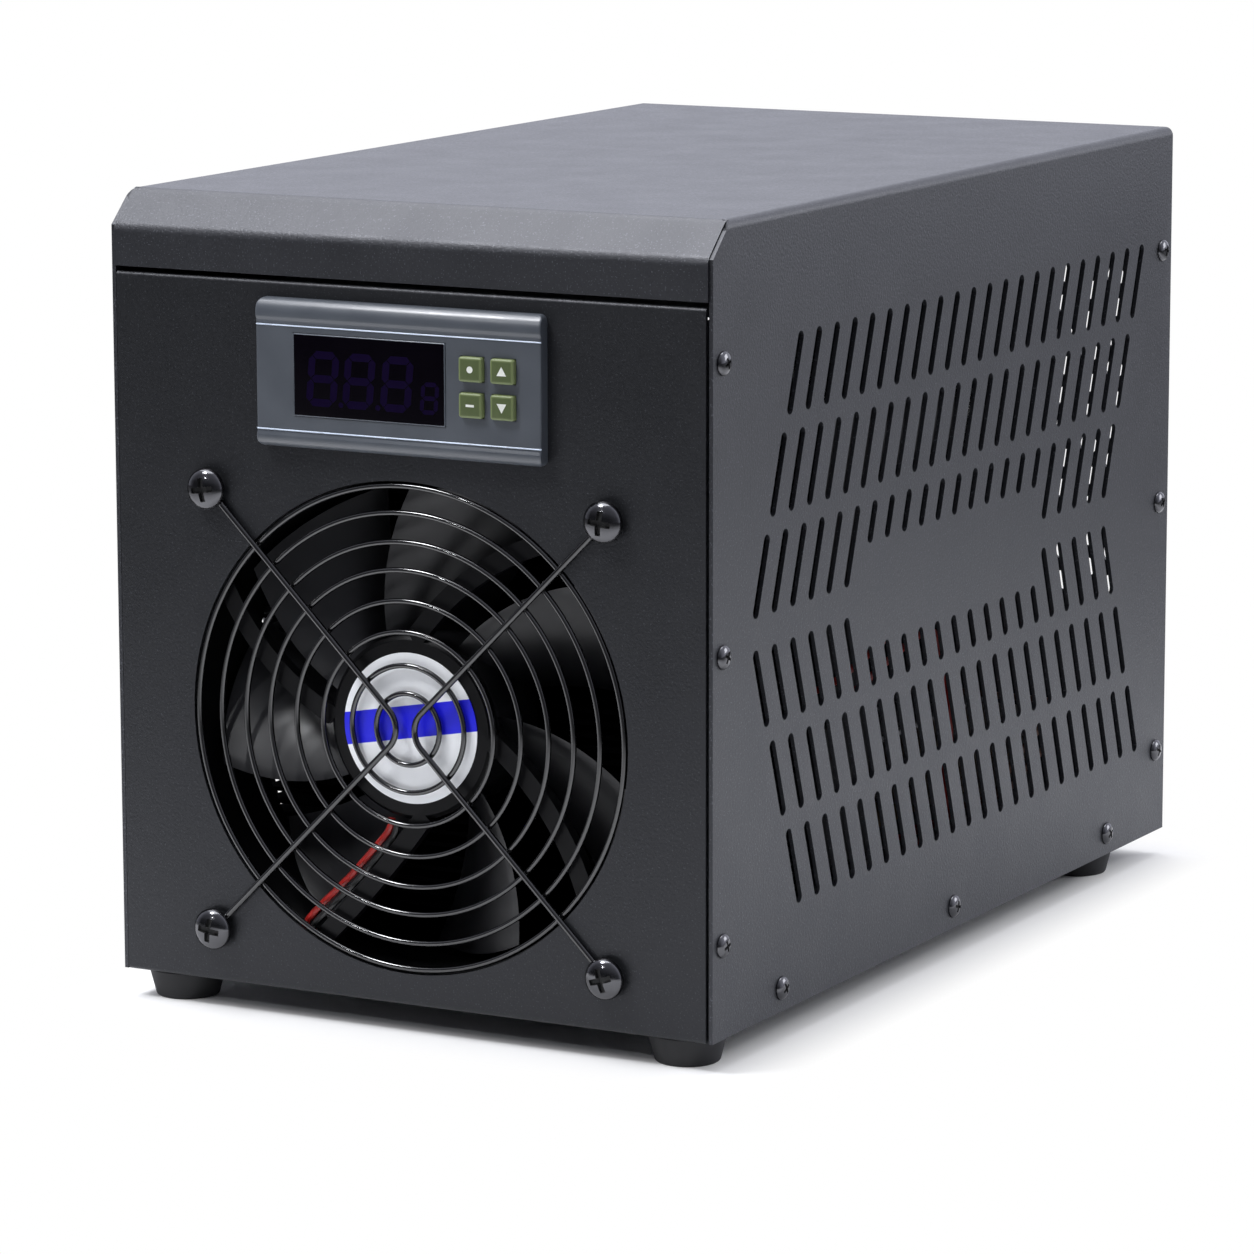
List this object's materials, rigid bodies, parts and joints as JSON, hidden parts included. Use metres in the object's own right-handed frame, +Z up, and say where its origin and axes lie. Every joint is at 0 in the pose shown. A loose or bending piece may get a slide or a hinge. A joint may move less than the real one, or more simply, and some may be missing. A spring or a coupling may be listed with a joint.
{
  "type": "aquarium chiller",
  "caption": "Thermoelectric aquarium chiller in a slotted steel case on rubber feet, with a guarded front fan, digital thermostat, rear water spigots and mains inlet.",
  "frame": {"origin": "on the floor under the middle of the box round the whole object", "axes": "+X to the right seen from the front, +Y from the front panel to the rear, +Z up"},
  "size_m": [0.1608, 0.2884, 0.193],
  "materials": {
    "case_steel": "dark graphite powder coat, fine texture",
    "panel_steel": "dark graphite powder coat, fine texture",
    "bright_steel": "nickel plated",
    "black_nickel": "glossy black nickel",
    "aluminium": "extruded and machined",
    "black_anodised": "black anodised aluminium",
    "black_rubber": "matt",
    "black_plastic": "moulded",
    "rotor_plastic": "smooth moulded",
    "bezel_plastic": "slate grey, satin",
    "key_plastic": "olive green, satin",
    "window_plastic": "dark tinted, clear gloss",
    "label_paper": "white film with a plain blue band",
    "copper": "enamelled copper wire on steel",
    "magnet": "bonded ferrite",
    "board": "green circuit board",
    "brown_board": "brown circuit board with its parts",
    "orange_plastic": "orange",
    "green_plastic": "green terminal strip",
    "ceramic": "white ceramic",
    "foam": "closed cell foam",
    "hose_rubber": "smooth",
    "red_lead": "insulated wire",
    "black_lead": "insulated wire",
    "brown_lead": "insulated wire"
  },
  "bodies": {
    "case": {"cover": "case_steel", "cover_screws": "black_nickel", "front_tray": "panel_steel", "rear_panel": "panel_steel", "tray_screws": "bright_steel", "feet": "black_rubber", "foot_screws": "bright_steel", "foot_nuts": "bright_steel", "fan_guard": "black_nickel", "guard_screws": "black_nickel", "guard_nuts": "bright_steel", "fan_frame": "black_plastic", "fan_bearings": "bright_steel", "fan_stator": "copper", "fan_label": "label_paper", "fan_lead_red": "red_lead", "fan_lead_black": "black_lead", "bezel": "bezel_plastic", "display_window": "window_plastic", "display_digits": "black_plastic", "control_board": "board", "key_switches": "black_plastic", "control_case": "black_plastic", "control_clips": "orange_plastic", "control_terminals": "green_plastic", "heat_sink": "black_anodised", "sink_brackets": "bright_steel", "bracket_screws": "bright_steel", "cooling_modules": "ceramic", "water_block": "aluminium", "block_foam": "foam", "block_bolts": "bright_steel", "water_inlet": "black_plastic", "water_outlet": "black_plastic", "port_nuts": "black_plastic", "port_washers": "black_rubber", "inner_hoses": "hose_rubber", "hose_clips": "bright_steel", "temperature_probe": "bright_steel", "supply_case": "aluminium", "supply_lid": "aluminium", "supply_board": "brown_board", "supply_terminals": "black_plastic", "mains_inlet": "black_plastic", "inlet_pins": "bright_steel", "inlet_screws": "bright_steel", "switch_housing": "black_plastic", "module_leads": "red_lead", "mains_leads": "brown_lead"},
    "rotor": {"fan_rotor": "rotor_plastic", "fan_magnet": "magnet", "fan_shaft": "bright_steel"},
    "set_key": {"key_set": "key_plastic"},
    "reset_key": {"key_reset": "key_plastic"},
    "up_key": {"key_up": "key_plastic"},
    "down_key": {"key_down": "key_plastic"},
    "rocker": {"switch_rocker": "rotor_plastic"}
  },
  "joints": [
    {"name": "fan_spin", "type": "hinge", "parent": "case", "child": "rotor", "pos_m": [0, -0.12685, 0.0723], "axis": [0, 1, 0], "continuous": true},
    {"name": "set_press", "type": "slide", "parent": "case", "child": "set_key", "axis": [0, 1, 0], "range_m": [0, 0.0005], "stiffness_N_per_m": 400},
    {"name": "reset_press", "type": "slide", "parent": "case", "child": "reset_key", "axis": [0, 1, 0], "range_m": [0, 0.0005], "stiffness_N_per_m": 400},
    {"name": "up_press", "type": "slide", "parent": "case", "child": "up_key", "axis": [0, 1, 0], "range_m": [0, 0.0005], "stiffness_N_per_m": 400},
    {"name": "down_press", "type": "slide", "parent": "case", "child": "down_key", "axis": [0, 1, 0], "range_m": [0, 0.0005], "stiffness_N_per_m": 400},
    {"name": "rocker_turn", "type": "hinge", "parent": "case", "child": "rocker", "pos_m": [0.02, 0.12015, 0.039], "axis": [1, 0, 0], "range_deg": [0, 20]}
  ]
}
